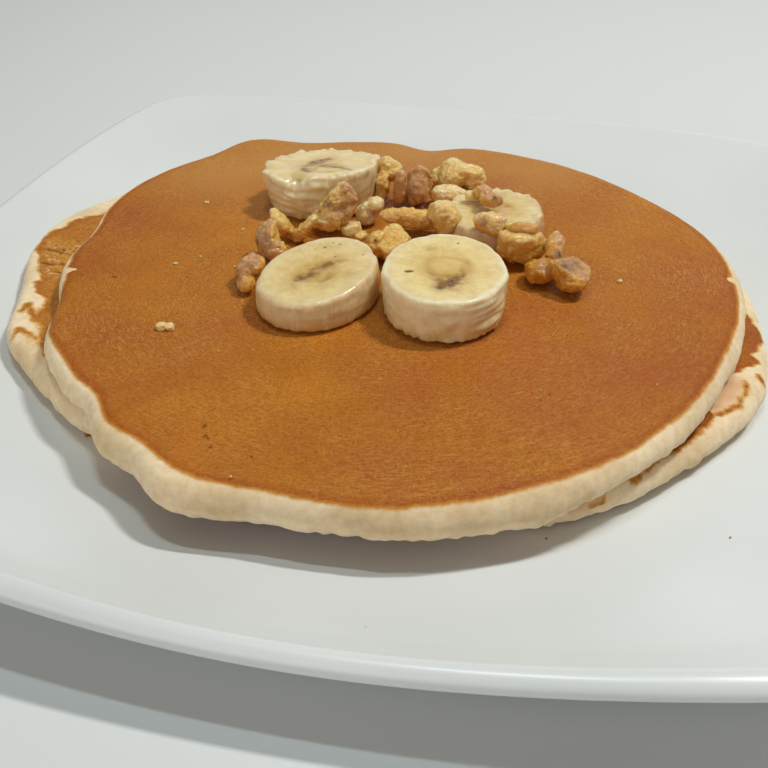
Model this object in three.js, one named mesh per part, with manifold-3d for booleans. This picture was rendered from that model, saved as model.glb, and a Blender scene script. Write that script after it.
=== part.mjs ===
// Two pancakes stacked on a square coupe plate, topped with banana slices and walnut pieces.
// Millimetres, +Z up. The origin is on the table, under the middle of the plate.
import * as THREE from 'three';
import { mergeVertices } from 'three/addons/utils/BufferGeometryUtils.js';
import Module from 'manifold-3d';

const wasm = await Module();
wasm.setup();

// Air left between pieces that touch.
const gap = 0.3;

// Plate: four gently bowed sides, round corners that rise a little, a flat well and a foot ring.
const plateWidth = 255;
const sideBow = 392;
const cornerRadius = 22;
const wellHeight = 7;
const wellRadius = 70;
const rimHeight = 19.3;
const rimInset = 3;
const coupePower = 2.6;
const cornerLift = 3.1;
const plateWall = 4.8;
const footInner = 70;
const footOuter = 75;
const footDepth = 2;

// Pancakes: each outline is a mean radius with a few bulges, as batter runs in a pan.
const pancakeThick = 8;
const edgeThin = 0.7;
const lowerCake = {
  centre: [-3.7, 8.1],
  radius: 96.5,
  bulges: [
    { at: 21, wide: 11, out: -3.5 },
    { at: 95, wide: 46, out: -12.6 },
    { at: 181, wide: 17, out: 6.1 },
    { at: 210, wide: 8, out: 3.8 },
    { at: 268, wide: 24, out: -14.7 },
    { at: 301, wide: 25, out: 4.5 },
    { at: 339, wide: 13, out: 4.2 },
  ],
};
const topCake = {
  centre: [-3, -2.9],
  radius: 87.6,
  bulges: [
    { at: 17, wide: 27, out: 4.2 },
    { at: 93, wide: 6, out: -6 },
    { at: 130, wide: 7, out: 6.9 },
    { at: 150, wide: 20, out: 5.1 },
    { at: 178, wide: 7, out: -2.2 },
    { at: 197, wide: 27, out: -2.8 },
    { at: 203, wide: 7, out: -2.2 },
    { at: 216, wide: 5, out: 0.8 },
    { at: 234, wide: 4, out: -1.5 },
    { at: 242, wide: 5, out: 1.6 },
    { at: 257, wide: 8, out: 5.8 },
    { at: 294, wide: 37, out: 6.8 },
  ],
};
// The top pancake's rim curls up at the back, and its underside sags where nothing is under it.
const rimWaves = [
  { at: 131, wide: 16, up: 1.6 },
  { at: 58, wide: 12, up: 0.5 },
];
const overhangSag = 2.8;
const sagFrom = 1;
const sagTo = 1.06;

const rad = Math.PI / 180;
const { clamp, smoothstep } = THREE.MathUtils;

// How near an angle is to a bump's own angle, from 1 on it to 0 far away (degrees).
function near(angle, bump) {
  const off = ((angle - bump.at + 540) % 360) - 180;
  return Math.exp(-((off / bump.wide) ** 2));
}

// Distance from the plate's middle to the outline of its rim, in the direction of an angle.
function rimReach(angle) {
  const k = sideBow - plateWidth / 2;
  const c = (Math.sqrt(2 * (sideBow - cornerRadius) ** 2 - k * k) - k) / 2;
  const turn = Math.atan2(c, c + k);
  const join = Math.atan2(sideBow * Math.sin(turn), sideBow * Math.cos(turn) - k);
  const eighth = Math.PI / 4;
  const a = eighth - Math.abs(eighth - (((angle % (2 * eighth)) + 2 * eighth) % (2 * eighth)));
  if (a <= join) {
    return Math.sqrt(sideBow ** 2 - (k * Math.sin(a)) ** 2) - k * Math.cos(a);
  }
  const m = c * (Math.cos(a) + Math.sin(a));
  return m + Math.sqrt(m * m - 2 * c * c + cornerRadius ** 2);
}

// The plate grows from a nearly round foot to the square rim.
function squareness(u, angle) {
  return 1 + (rimReach(angle) / (plateWidth / 2) - 1) * (u / (plateWidth / 2)) ** 2;
}

// Extra height of the plate towards its corners.
function cornerRise(u, angle) {
  const outward = clamp((u - wellRadius) / (plateWidth / 2 - wellRadius), 0, 1);
  return cornerLift * (Math.sin(2 * angle) ** 2 - 0.5) * outward ** 2;
}

function coupeHeight(u) {
  const outward = Math.max(0, (u - wellRadius) / (plateWidth / 2 - rimInset - wellRadius));
  return wellHeight + (rimHeight - wellHeight) * outward ** coupePower;
}

// Height of the plate's upper face at a point.
function plateTop(x, y) {
  const angle = Math.atan2(y, x);
  const r = Math.hypot(x, y);
  let u = r;
  for (let i = 0; i < 8; i++) {
    u = r / squareness(u, angle);
  }
  return coupeHeight(u) + cornerRise(u, angle);
}

// A closed solid of revolution about Z from a profile of [radius, height] pairs.
function turned(profile, segments) {
  const points = profile.map(([r, z]) => new THREE.Vector2(r, z));
  const lathe = new THREE.LatheGeometry(points, segments).rotateX(Math.PI / 2);
  return closed(lathe);
}

// Only positions are kept, shared vertices are joined and triangles without area dropped.
function closed(geometry) {
  geometry.deleteAttribute('normal');
  geometry.deleteAttribute('uv');
  const merged = mergeVertices(geometry, 1e-3);
  const kept = [];
  const index = merged.index.array;
  for (let i = 0; i < index.length; i += 3) {
    const [a, b, c] = [index[i], index[i + 1], index[i + 2]];
    if (a !== b && b !== c && c !== a) kept.push(a, b, c);
  }
  merged.setIndex(kept);
  return merged;
}

// Moves every vertex with a function that changes the vector it is given.
function moved(geometry, change) {
  const position = geometry.getAttribute('position');
  const p = new THREE.Vector3();
  for (let i = 0; i < position.count; i++) {
    p.fromBufferAttribute(position, i);
    change(p, i);
    position.setXYZ(i, p.x, p.y, p.z);
  }
  return geometry;
}

function piece(name, geometry, colour, roughness) {
  geometry.computeVertexNormals();
  const material = new THREE.MeshStandardMaterial({ color: colour, roughness, metalness: 0 });
  const mesh = new THREE.Mesh(geometry, material);
  mesh.name = name;
  return mesh;
}

// Repeatable random numbers from 0 to 1.
function randomFrom(seed) {
  let state = seed * 7919 + 17;
  return () => {
    state = (state * 16807) % 2147483647;
    return state / 2147483647;
  };
}

const dish = new THREE.Group();

// ---- Plate ----

function makePlate() {
  const half = plateWidth / 2;
  const crest = half - rimInset;
  const under = (u) => coupeHeight(u) - plateWall;
  const profile = [
    [0, footDepth],
    [footInner - 2, footDepth],
    [footInner, 0],
    [footOuter, 0],
    [footOuter + 2.5, under(footOuter)],
    [98, under(98)],
    [112, under(112)],
    [crest - 1.5, under(crest - 1.5)],
    [half - 0.9, rimHeight - 3.9],
    [half, rimHeight - 2.3],
    [half - 0.9, rimHeight - 0.7],
    [crest, rimHeight],
    [crest - 3.5, coupeHeight(crest - 3.5)],
    [114, coupeHeight(114)],
    [103, coupeHeight(103)],
    [90, coupeHeight(90)],
    [wellRadius + 3, wellHeight],
    [0, wellHeight],
  ];
  const plate = turned(profile, 64);
  return moved(plate, (p) => {
    const u = Math.hypot(p.x, p.y);
    if (u < 1e-6) return;
    // Steps round the rim close up at the corners, where it turns.
    const even = Math.atan2(p.y, p.x);
    const angle = even + 0.15 * Math.sin(4 * even);
    const r = u * squareness(u, angle);
    p.set(r * Math.cos(angle), r * Math.sin(angle), p.z + cornerRise(u, angle));
  });
}
dish.add(piece('plate', makePlate(), 0xe9ecec, 0.25));

// ---- Pancakes ----

function cakeReach(cake, angle) {
  const bulge = (sum, bump) => sum + bump.out * near(angle, bump);
  return cake.bulges.reduce(bulge, cake.radius);
}

// Share of the way from a pancake's middle to its edge, and the angle in degrees.
function cakePlace(cake, x, y) {
  const [dx, dy] = [x - cake.centre[0], y - cake.centre[1]];
  const angle = Math.atan2(dy, dx) / rad;
  return { angle, share: Math.hypot(dx, dy) / cakeReach(cake, angle) };
}

function cakeThickness(share) {
  return pancakeThick - edgeThin * Math.min(share, 1) ** 3;
}

const lowerBase = (x, y) => plateTop(x, y) + gap + 0.1;

function lowerTop(x, y) {
  return lowerBase(x, y) + cakeThickness(cakePlace(lowerCake, x, y).share);
}

function topBase(x, y) {
  const { angle, share } = cakePlace(topCake, x, y);
  const wave = (sum, bump) => sum + bump.up * near(angle, bump);
  const curl = rimWaves.reduce(wave, 0) * Math.min(share, 1.02) ** 12;
  return lowerTop(x, y) + gap + 0.1 + curl;
}

const noSag = () => 0;

function topSag(x, y) {
  return overhangSag * smoothstep(cakePlace(lowerCake, x, y).share, sagFrom, sagTo);
}

function topSurface(x, y) {
  return topBase(x, y) + cakeThickness(cakePlace(topCake, x, y).share);
}

// A round-edged disc, stretched to its own outline and laid on what is under it.
function makeCake(cake, base, sag) {
  const r = cake.radius;
  const profile = [
    [0, 0],
    [r * 0.4, 0],
    [r * 0.7, 0],
    [r * 0.77, 0],
    [r * 0.84, 0],
    [r * 0.9, 0],
    [r - 5, 0],
    [r - 1.5, 0.14],
    [r, 0.4],
    [r - 0.4, 0.7],
    [r - 1.8, 0.92],
    [r - 4.5, 1],
    [r * 0.86, 1],
    [r * 0.7, 1],
    [r * 0.4, 1],
    [0, 1],
  ];
  return moved(turned(profile, 64), (p) => {
    const angle = Math.atan2(p.y, p.x) / rad;
    const stretch = cakeReach(cake, angle) / r;
    const share = Math.hypot(p.x, p.y) / r;
    const x = cake.centre[0] + p.x * stretch;
    const y = cake.centre[1] + p.y * stretch;
    const drop = sag(x, y) * (1 - 0.8 * p.z);
    p.set(x, y, base(x, y) + p.z * cakeThickness(share) - drop);
  });
}
dish.add(piece('pancake_lower', makeCake(lowerCake, lowerBase, noSag), 0xc98a3d, 0.6));
dish.add(piece('pancake_top', makeCake(topCake, topBase, topSag), 0xbf7530, 0.5));

// ---- Things on the top pancake ----

const toppings = [];

// A mesh in the part's frame as a solid, its skin moved out by a clearance.
function solidOf(mesh, clearance = 0) {
  const geometry = mesh.geometry.clone().applyMatrix4(mesh.matrixWorld);
  geometry.computeVertexNormals();
  const normal = geometry.getAttribute('normal');
  const out = new THREE.Vector3();
  moved(geometry, (p, i) => p.addScaledVector(out.fromBufferAttribute(normal, i), clearance));
  return new wasm.Manifold(new wasm.Mesh({
    numProp: 3,
    vertProperties: geometry.getAttribute('position').array,
    triVerts: new Uint32Array(geometry.index.array),
  }));
}

// The largest body of a solid as a geometry.
function geometryOf(solid) {
  const body = solid.decompose().sort((a, b) => b.volume() - a.volume())[0];
  const { numProp, vertProperties, triVerts } = body.getMesh();
  const geometry = new THREE.BufferGeometry();
  geometry.setAttribute('position', new THREE.BufferAttribute(vertProperties, numProp));
  geometry.setIndex(new THREE.BufferAttribute(triVerts, 1));
  return closed(geometry);
}

// Puts a topping in place; it gives way where an earlier one already lies.
function settle(mesh) {
  mesh.updateMatrixWorld();
  let solid = solidOf(mesh);
  let touched = false;
  for (const other of toppings) {
    const block = solidOf(other, gap);
    if (solid.intersect(block).volume() === 0) continue;
    solid = solid.subtract(block);
    touched = true;
  }
  if (touched) {
    mesh.geometry = geometryOf(solid).applyMatrix4(mesh.matrixWorld.clone().invert());
    mesh.geometry.computeVertexNormals();
  }
  toppings.push(mesh);
  dish.add(mesh);
}

// Sets a mesh down at a spot, just clear of the pancake, or higher where it lies on other pieces.
function setDown(mesh, x, y, raise = 0) {
  mesh.position.set(x, y, 0);
  mesh.updateMatrixWorld();
  const position = mesh.geometry.getAttribute('position');
  const p = new THREE.Vector3();
  let lift = -Infinity;
  for (let i = 0; i < position.count; i++) {
    p.fromBufferAttribute(position, i).applyMatrix4(mesh.matrixWorld);
    lift = Math.max(lift, topSurface(p.x, p.y) - p.z);
  }
  mesh.position.z = lift + gap + raise;
  settle(mesh);
}

// A banana slice: oval, with three soft sides, a top face that may slope, and walls that may taper.
function makeSlice(slice) {
  const random = randomFrom(slice.seed);
  const { radius: r, thick: h } = slice;
  const steps = 36;
  const profile = [
    [0, 0],
    [r - 1.6, 0],
    [r - 0.4, 0.8],
    [r, h * 0.35],
    [r, h * 0.7],
    [r - 0.4, h - 1],
    [r - 1.5, h - 0.1],
    [r * 0.55, h],
    [0, h - 0.3],
  ];
  const rim = Array.from({ length: steps }, () => random() - 0.5);
  return moved(turned(profile, steps), (p) => {
    const angle = Math.atan2(p.y, p.x);
    const share = Math.hypot(p.x, p.y) / r;
    const up = p.z / h;
    const sides = 1 + slice.sides * Math.cos(3 * (angle - slice.turn * rad));
    const oval = 1 + slice.oval * Math.cos(2 * (angle - slice.turn * rad));
    const taper = 1 + slice.flare * (up - 0.5);
    const step = (Math.round((angle / (2 * Math.PI)) * steps) + steps) % steps;
    const torn = up > 0.8 && share > 0.8 ? slice.torn * rim[step] : 0;
    const grow = sides * oval * taper + torn / r;
    const slope = (slice.slope[0] * p.x + slice.slope[1] * p.y) * up;
    p.set(p.x * grow, p.y * grow, p.z + slope + torn * 0.5);
  });
}

const slices = [
  {
    name: 'banana_front_right', at: [15.9, -22.3], radius: 14.9, thick: 12.2, seed: 3,
    oval: 0.03, sides: 0.015, turn: 100, flare: 0.03, torn: 0, slope: [-0.02, 0.06],
  },
  {
    name: 'banana_front_left', at: [-14.5, -24.6], radius: 14.6, thick: 9, seed: 4,
    oval: 0.09, sides: 0.01, turn: 60, flare: -0.04, torn: 0, slope: [0.07, 0.1],
  },
  {
    name: 'banana_back_left', at: [-29.1, 29.1], radius: 14.6, thick: 12.2, seed: 8,
    oval: 0.05, sides: 0.015, turn: 10, flare: 0.12, torn: 1.2, slope: [0.1, -0.1],
  },
  {
    name: 'banana_back_right', at: [21.5, 21.5], radius: 13.2, thick: 7, seed: 9,
    oval: 0.02, sides: 0.015, turn: 30, flare: -0.05, torn: 0, slope: [0, 0.06],
  },
];
for (const slice of slices) {
  setDown(piece(slice.name, makeSlice(slice), 0xecdca6, 0.45), ...slice.at);
}

// One lobe of a walnut piece: a ball with folds, flat where it snapped.
function makeLobe(lobe, random) {
  const folds = Array.from({ length: 5 }, () => {
    const way = new THREE.Vector3(random() - 0.5, random() - 0.5, random() - 0.5).normalize();
    return { way, beat: 2.2 + 2.6 * random(), start: 6 * random() };
  });
  const snaps = (lobe.snaps ?? []).map(([x, y, z, far]) => {
    return { way: new THREE.Vector3(x, y, z).normalize(), far };
  });
  const [wide, deep, high] = lobe.size;
  const ball = closed(new THREE.IcosahedronGeometry(1, lobe.detail ?? 2));
  moved(ball, (p) => {
    let swell = 1;
    for (const fold of folds) {
      swell += (lobe.rough ?? 0.055) * Math.sin(fold.beat * p.dot(fold.way) + fold.start);
    }
    p.multiplyScalar(swell);
    for (const snap of snaps) {
      const over = p.dot(snap.way) - snap.far;
      if (over > 0) p.addScaledVector(snap.way, -over * 0.92);
    }
    p.set((p.x * wide) / 2, (p.y * deep) / 2, (p.z * high) / 2);
  });
  const [leanX, leanY, turn] = lobe.turned ?? [0, 0, 0];
  const shape = new THREE.Mesh(ball);
  shape.rotation.set(leanX * rad, leanY * rad, turn * rad, 'ZYX');
  shape.position.set(...(lobe.shift ?? [0, 0, 0]));
  shape.updateMatrixWorld();
  return shape;
}

// A walnut piece is one lobe, or several grown together.
function makeNut(lobes, seed) {
  const random = randomFrom(seed);
  const shapes = lobes.map((lobe) => makeLobe(lobe, random));
  if (shapes.length === 1) return shapes[0].geometry.applyMatrix4(shapes[0].matrixWorld);
  return geometryOf(shapes.map((shape) => solidOf(shape)).reduce((a, b) => a.add(b)));
}

// Lobe sizes are across, deep and high; turned is its lean about X and Y and its turn about Z.
const nuts = [
  {
    name: 'walnut_01', at: [-19.9, 11.6], raise: 0.6,
    lobes: [
      {
        size: [9.2, 6.4, 12.4], turned: [-6, 14, 12], shift: [0.8, 0.8, 3.6],
        snaps: [[0.2, -1, 0.25, 0.55]],
      },
      { size: [8.8, 6.8, 6.8], turned: [0, 0, -10], shift: [-2, -0.4, 0], rough: 0.09 },
    ],
  },
  {
    name: 'walnut_02', at: [-33, -5.4],
    lobes: [
      { size: [7, 8, 10.4], turned: [-8, 8, 20], snaps: [[1, -0.4, 0.3, 0.5]] },
      { size: [6.4, 5.4, 6], shift: [2.4, -2.4, -2.2], detail: 1 },
    ],
  },
  {
    name: 'walnut_03', at: [-33.8, -18.2],
    lobes: [
      { size: [6, 9.6, 6.6], turned: [8, -10, -20], snaps: [[0.2, 0, 1, 0.6]] },
      { size: [5, 5.4, 4.6], shift: [0.4, -5.6, -1], detail: 1 },
    ],
  },
  {
    name: 'walnut_04', at: [-29.4, 4],
    lobes: [
      { size: [3.6, 5.4, 10.4], turned: [0, -40, 0], shift: [-3.2, 0.8, 0.4] },
      { size: [3.4, 5, 10], turned: [0, 40, 0], shift: [3, 0, 0] },
    ],
  },
  {
    name: 'walnut_05', at: [-3.6, 34],
    lobes: [
      { size: [7.4, 8.6, 10.8], turned: [0, 0, 10], shift: [1.8, 0, 0], detail: 3, rough: 0.08 },
      { size: [4, 7.6, 10], turned: [0, 8, 10], shift: [-3, -0.8, -0.2] },
    ],
  },
  {
    name: 'walnut_06', at: [-12.4, 34.6],
    lobes: [
      { size: [6.2, 7.4, 8.8], turned: [0, 10, 20], shift: [-0.4, -1, -1], snaps: [[-0.4, -1, 0, 0.6]] },
      { size: [7.6, 6.2, 6.6], turned: [0, 18, 0], shift: [1.8, 2.6, 3] },
    ],
  },
  {
    name: 'walnut_07', at: [8.2, 46.8],
    lobes: [
      { size: [12, 9.4, 9.2], turned: [0, 0, 10], detail: 3, rough: 0.07 },
      { size: [5.6, 6, 5.4], shift: [-6.2, -0.6, -1.2], detail: 1 },
      { size: [7, 7, 7], shift: [4.6, -1.2, -0.6], snaps: [[0.3, -1, 0, 0.6]] },
    ],
  },
  {
    name: 'walnut_08', at: [20.4, 20.8], raise: 7.9,
    lobes: [
      { size: [7.2, 4, 4], turned: [0, 8, 10] },
      { size: [5.6, 4.4, 3.8], shift: [-3, 3.2, 0.4], detail: 1 },
    ],
  },
  {
    name: 'walnut_09', at: [9.6, 14.4], raise: 0.6,
    lobes: [
      { size: [10.4, 8.2, 9], turned: [0, 0, 10], rough: 0.07 },
      { size: [17.4, 5.6, 5.8], turned: [0, 3, 8], shift: [-9.6, 2, -1.2], rough: 0.03 },
    ],
  },
  {
    name: 'walnut_10', at: [-3, -0.3],
    lobes: [
      { size: [8.6, 9.6, 9], turned: [0, 0, 25], shift: [1.2, 0, 0], snaps: [[-0.15, -0.3, 1, 0.5]] },
      { size: [6.4, 7.6, 7], shift: [-2.8, -0.4, -0.6], rough: 0.09 },
    ],
  },
  {
    name: 'walnut_11', at: [-12.9, 18.6],
    lobes: [
      { size: [7, 5.8, 7.2], turned: [0, 0, 40], snaps: [[0.2, -1, 0.2, 0.5]] },
      { size: [4.4, 4.4, 4.4], shift: [2, 0.6, 2.2], detail: 1 },
    ],
  },
  {
    name: 'walnut_12', at: [30.8, 6.2], raise: 0.6,
    lobes: [
      { size: [12.6, 10.2, 10.6], turned: [0, 0, 15], detail: 3, snaps: [[0.1, 0.15, 1, 0.55]] },
      { size: [7, 7, 7], shift: [-2.6, -1.6, -1.6], detail: 1 },
    ],
  },
  {
    name: 'walnut_13', at: [22.5, 9.1], raise: 5,
    lobes: [{ size: [9, 6, 7], turned: [0, 10, -10] }],
  },
  {
    name: 'walnut_14', at: [42.5, -3],
    lobes: [
      { size: [10.4, 10.4, 8.4], turned: [0, 0, 10], shift: [1.6, -1.8, 0.4], snaps: [[0.3, -0.1, 1, 0.6]] },
      { size: [8, 9.8, 6.4], shift: [-5.6, 0.4, -0.6] },
      { size: [5.2, 11, 6], turned: [20, 0, 8], shift: [-3, 7.2, 2.6], detail: 1 },
    ],
  },
  {
    name: 'walnut_15', at: [6.6, 36],
    lobes: [{ size: [11, 7, 6.2], turned: [0, 0, 12], rough: 0.04 }],
  },
];
nuts.forEach((nut, i) => {
  const mesh = piece(nut.name, makeNut(nut.lobes, 11 + i), 0xc69655, 0.55);
  setDown(mesh, ...nut.at, nut.raise);
});

export default dish;
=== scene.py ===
import math

import bmesh
import bpy
import numpy as np
from mathutils import Matrix, Vector, noise


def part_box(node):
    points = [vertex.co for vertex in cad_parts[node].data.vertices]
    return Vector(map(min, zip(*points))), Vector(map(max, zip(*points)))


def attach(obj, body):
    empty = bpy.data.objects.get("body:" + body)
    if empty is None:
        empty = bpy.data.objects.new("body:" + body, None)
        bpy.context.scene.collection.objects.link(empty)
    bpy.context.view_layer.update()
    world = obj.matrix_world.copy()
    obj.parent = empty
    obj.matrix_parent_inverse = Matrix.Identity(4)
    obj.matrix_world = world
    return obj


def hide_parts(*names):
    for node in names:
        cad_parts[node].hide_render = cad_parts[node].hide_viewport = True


# Two pancakes with banana slices and walnut pieces on a square coupe plate.
# The CAD frame gives places and sizes; this script adds surface and detail.

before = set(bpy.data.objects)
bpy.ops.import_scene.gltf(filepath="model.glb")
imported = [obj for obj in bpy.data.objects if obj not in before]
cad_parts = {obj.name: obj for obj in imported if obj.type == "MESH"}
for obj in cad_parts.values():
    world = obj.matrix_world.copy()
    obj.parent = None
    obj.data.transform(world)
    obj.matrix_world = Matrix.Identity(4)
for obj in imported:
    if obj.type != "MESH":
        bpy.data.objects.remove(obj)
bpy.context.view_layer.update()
mm = 0.001


def linear(hexColour):
    channels = [int(hexColour[i:i + 2], 16) / 255 for i in (1, 3, 5)]
    return tuple(c / 12.92 if c <= 0.04045 else ((c + 0.055) / 1.055) ** 2.4 for c in channels) + (1.0,)


def addNode(tree, kind, sockets=None, **settings):
    # a socket takes a value, a hex colour or another node's output
    node = tree.nodes.new(kind)
    for key, value in settings.items():
        setattr(node, key, value)
    for key, value in (sockets or {}).items():
        if isinstance(value, bpy.types.NodeSocket):
            tree.links.new(value, node.inputs[key])
        else:
            node.inputs[key].default_value = linear(value) if str(value).startswith("#") else value
    return node


def treeOf(*values):
    return next(value.id_data for value in values if isinstance(value, bpy.types.NodeSocket))


def blankMaterial(name):
    material = bpy.data.materials.new(name)
    material.use_nodes = True
    material.node_tree.nodes.clear()
    return material, material.node_tree


def objectPlace(tree):
    return addNode(tree, "ShaderNodeTexCoord").outputs["Object"]


def painted(tree, *keys):
    # what paint left on the mesh
    return [addNode(tree, "ShaderNodeAttribute", attribute_name=key).outputs["Fac"] for key in keys]


def ramp(value, *stops):
    # each stop is a place and a colour, in hex or as a grey from 0 to 1
    node = addNode(value.id_data, "ShaderNodeValToRGB", {"Fac": value})
    elements = node.color_ramp.elements
    while len(elements) < len(stops):
        elements.new(0.5)
    for element, (place, colour) in zip(elements, stops):
        element.position = place
        element.color = linear(colour) if isinstance(colour, str) else (colour, colour, colour, 1)
    return node.outputs["Color"]


def grain(place, scale, detail=2, roughness=0.5, distortion=0):
    # scale is in swells per metre
    sockets = {"Vector": place, "Scale": scale, "Detail": detail, "Roughness": roughness, "Distortion": distortion}
    return addNode(place.id_data, "ShaderNodeTexNoise", sockets).outputs["Fac"]


def cells(place, scale):
    return addNode(place.id_data, "ShaderNodeTexVoronoi", {"Vector": place, "Scale": scale}).outputs["Distance"]


def maths(operation, *values):
    return addNode(treeOf(*values), "ShaderNodeMath", dict(enumerate(values)), operation=operation).outputs["Value"]


def vectors(operation, *values):
    node = addNode(treeOf(*values), "ShaderNodeVectorMath", dict(enumerate(values)), operation=operation)
    return node.outputs["Value" if operation in ("LENGTH", "DISTANCE") else "Vector"]


def remap(value, low, high, toLow=0, toHigh=1):
    sockets = {"Value": value, "From Min": low, "From Max": high, "To Min": toLow, "To Max": toHigh}
    return addNode(value.id_data, "ShaderNodeMapRange", sockets).outputs["Result"]


def blend(factor, a, b, how="MIX"):
    sockets = {"Factor": factor, "A": a, "B": b}
    return addNode(treeOf(factor, a, b), "ShaderNodeMix", sockets, data_type="RGBA", blend_type=how).outputs["Result"]


def bumps(height, strength, distance):
    sockets = {"Height": height, "Strength": strength, "Distance": distance}
    return addNode(height.id_data, "ShaderNodeBump", sockets).outputs["Normal"]


def shadeWith(tree, sockets):
    surface = addNode(tree, "ShaderNodeBsdfPrincipled", sockets)
    addNode(tree, "ShaderNodeOutputMaterial", {"Surface": surface.outputs["BSDF"]})


def addObject(name, data):
    obj = bpy.data.objects.new(name, data)
    bpy.context.scene.collection.objects.link(obj)
    return obj


def addWork(name, work):
    # a bmesh that is done becomes a smooth object
    mesh = bpy.data.meshes.new(name)
    work.to_mesh(mesh)
    work.free()
    mesh.shade_smooth()
    return addObject(name, mesh)


def applyModifiers(obj):
    mesh = bpy.data.meshes.new_from_object(obj.evaluated_get(bpy.context.evaluated_depsgraph_get()))
    obj.modifiers.clear()
    obj.data = mesh
    return mesh


def gridOrder(rows):
    # the first and the last ring shrink to one point each and come last
    return np.concatenate([rows[1:-1].reshape(-1, *rows.shape[2:]), [rows[0].mean(0)], [rows[-1].mean(0)]])


def gridMesh(name, rings):
    # rings is an array (ring, step, 3) in mm, from the middle underneath to the middle on top
    rows, steps = len(rings) - 2, rings.shape[1]
    faces = []
    for i in range(rows - 1):
        for j in range(steps):
            k = (j + 1) % steps
            faces.append((i * steps + j, i * steps + k, (i + 1) * steps + k, (i + 1) * steps + j))
    start, end = rows * steps, rows * steps + 1
    for j in range(steps):
        k = (j + 1) % steps
        faces.append((start, k, j))
        faces.append((end, (rows - 1) * steps + j, (rows - 1) * steps + k))
    mesh = bpy.data.meshes.new(name)
    mesh.from_pydata((gridOrder(rings) * mm).tolist(), [], faces)
    work = bmesh.new()
    work.from_mesh(mesh)
    bpy.data.meshes.remove(mesh)
    bmesh.ops.recalc_face_normals(work, faces=work.faces)
    return addWork(name, work)


def paint(obj, **values):
    # one number for each vertex, which the materials read
    for name, row in values.items():
        attribute = obj.data.attributes.new(name=name, type="FLOAT", domain="POINT")
        attribute.data.foreach_set("value", np.asarray(row, dtype=np.float32))


def paintGrid(obj, **values):
    paint(obj, **{name: gridOrder(rows) for name, rows in values.items()})


def places(mesh, key="co"):
    found = np.empty((len(mesh.vertices), 3))
    mesh.vertices.foreach_get(key, found.ravel())
    return found


def finishPiece(obj, material, node=None):
    obj.data.materials.clear()
    obj.data.materials.append(material)
    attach(obj, "root")
    if node:
        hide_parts(node)


def noiseAt(points, size, seed):
    # smooth noise from about -1 to 1; size is the width of one swell, in mm like all shapes below
    shift = Vector((seed * 13.7, seed * 5.3, seed * 9.1))
    found = [noise.noise(Vector(p) / size + shift) for p in points.reshape(-1, 3)]
    return np.reshape(found, points.shape[:-1])


def relief(points, layers, seed):
    # each layer is the width of one swell, its height and what it adds to the seed
    return sum(height * noiseAt(points, size, seed + own) for size, height, own in layers)


def near(angle, at, wide):
    off = (angle - at + 540) % 360 - 180
    return np.exp(-(off / wide) ** 2)


def smooth(x, a, b):
    t = np.clip((x - a) / (b - a), 0, 1)
    return t * t * (3 - 2 * t)


def curveThrough(points, count):
    # evenly spaced points on a smooth open curve through the given ones
    p = np.array(points, dtype=float)
    ends = np.concatenate([[2 * p[0] - p[1]], p, [2 * p[-1] - p[-2]]])
    fine = []
    for i in range(1, len(ends) - 2):
        a, b, c, d = ends[i - 1:i + 3]
        for t in np.linspace(0, 1, 24, endpoint=False):
            fine.append(0.5 * (2 * b + (c - a) * t + (2 * a - 5 * b + 4 * c - d) * t * t
                               + (3 * b - a - 3 * c + d) * t ** 3))
    fine = np.array(fine + [p[-1]])
    run = np.concatenate([[0], np.cumsum(np.linalg.norm(np.diff(fine, axis=0), axis=1))])
    even = np.linspace(0, run[-1], count)
    return np.stack([np.interp(even, run, fine[:, k]) for k in range(p.shape[1])], -1)


def spots(x, y, list_):
    # soft round patches: place, radius and amount of each
    return 0 * x + sum(amount * np.exp(-((x - sx) ** 2 + (y - sy) ** 2) / r ** 2) for sx, sy, r, amount in list_)


def fromLine(x, y, x0, y0, x1, y1):
    # distance from a straight line, and how far along it the nearest point is
    dx, dy = x1 - x0, y1 - y0
    t = np.clip(((x - x0) * dx + (y - y0) * dy) / (dx * dx + dy * dy), 0, 1)
    return np.hypot(x - x0 - t * dx, y - y0 - t * dy), t


view = {"lens": 49.17, "clip": 0.01, "place": (50.87, -235.5, 154.12), "aim": (1.17, -21.91, 0.0)}
cameraData = bpy.data.cameras.new("camera")
cameraData.lens = view["lens"]
cameraData.clip_start = view["clip"]
camera = addObject("camera", cameraData)
camera.location = Vector(view["place"]) * mm
camera.rotation_euler = (Vector(view["aim"]) - Vector(view["place"])).to_track_quat("-Z", "Y").to_euler()
bpy.context.scene.camera = camera
bpy.context.scene.view_settings.view_transform = "Standard"

# azimuth from +X to +Y, elevation, distance and two sides in metres, power, colour
lamps = {
    "windowLight": (28, 63, 1.1, 0.17, 0.06, 6.6, "#fffefb"),
    "ceilingLight": (90, 89.5, 1.3, 0.3, 0.06, 3.6, "#e8fbff"),
    "roomLight": (-119, 26, 1.5, 1.6, 0.9, 6.6, "#fbfbfa"),
    "paleWall": (92, 17, 3.0, 3.4, 1.1, 10.5, "#fbfdff"),
}
for name, (azimuth, elevation, far, wide, deep, power, colour) in lamps.items():
    a, e = math.radians(azimuth), math.radians(elevation)
    way = Vector((math.cos(a) * math.cos(e), math.sin(a) * math.cos(e), math.sin(e)))
    along = (Vector((1, 0, 0)) - way * way.x).normalized()
    data = bpy.data.lights.new(name, "AREA")
    data.shape = "RECTANGLE"
    data.size, data.size_y = wide, deep
    data.energy = power
    data.color = linear(colour)[:3]
    lamp = addObject(name, data)
    lamp.location = way * far
    lamp.rotation_euler = Matrix((along, way.cross(along), way)).transposed().to_euler()

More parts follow.
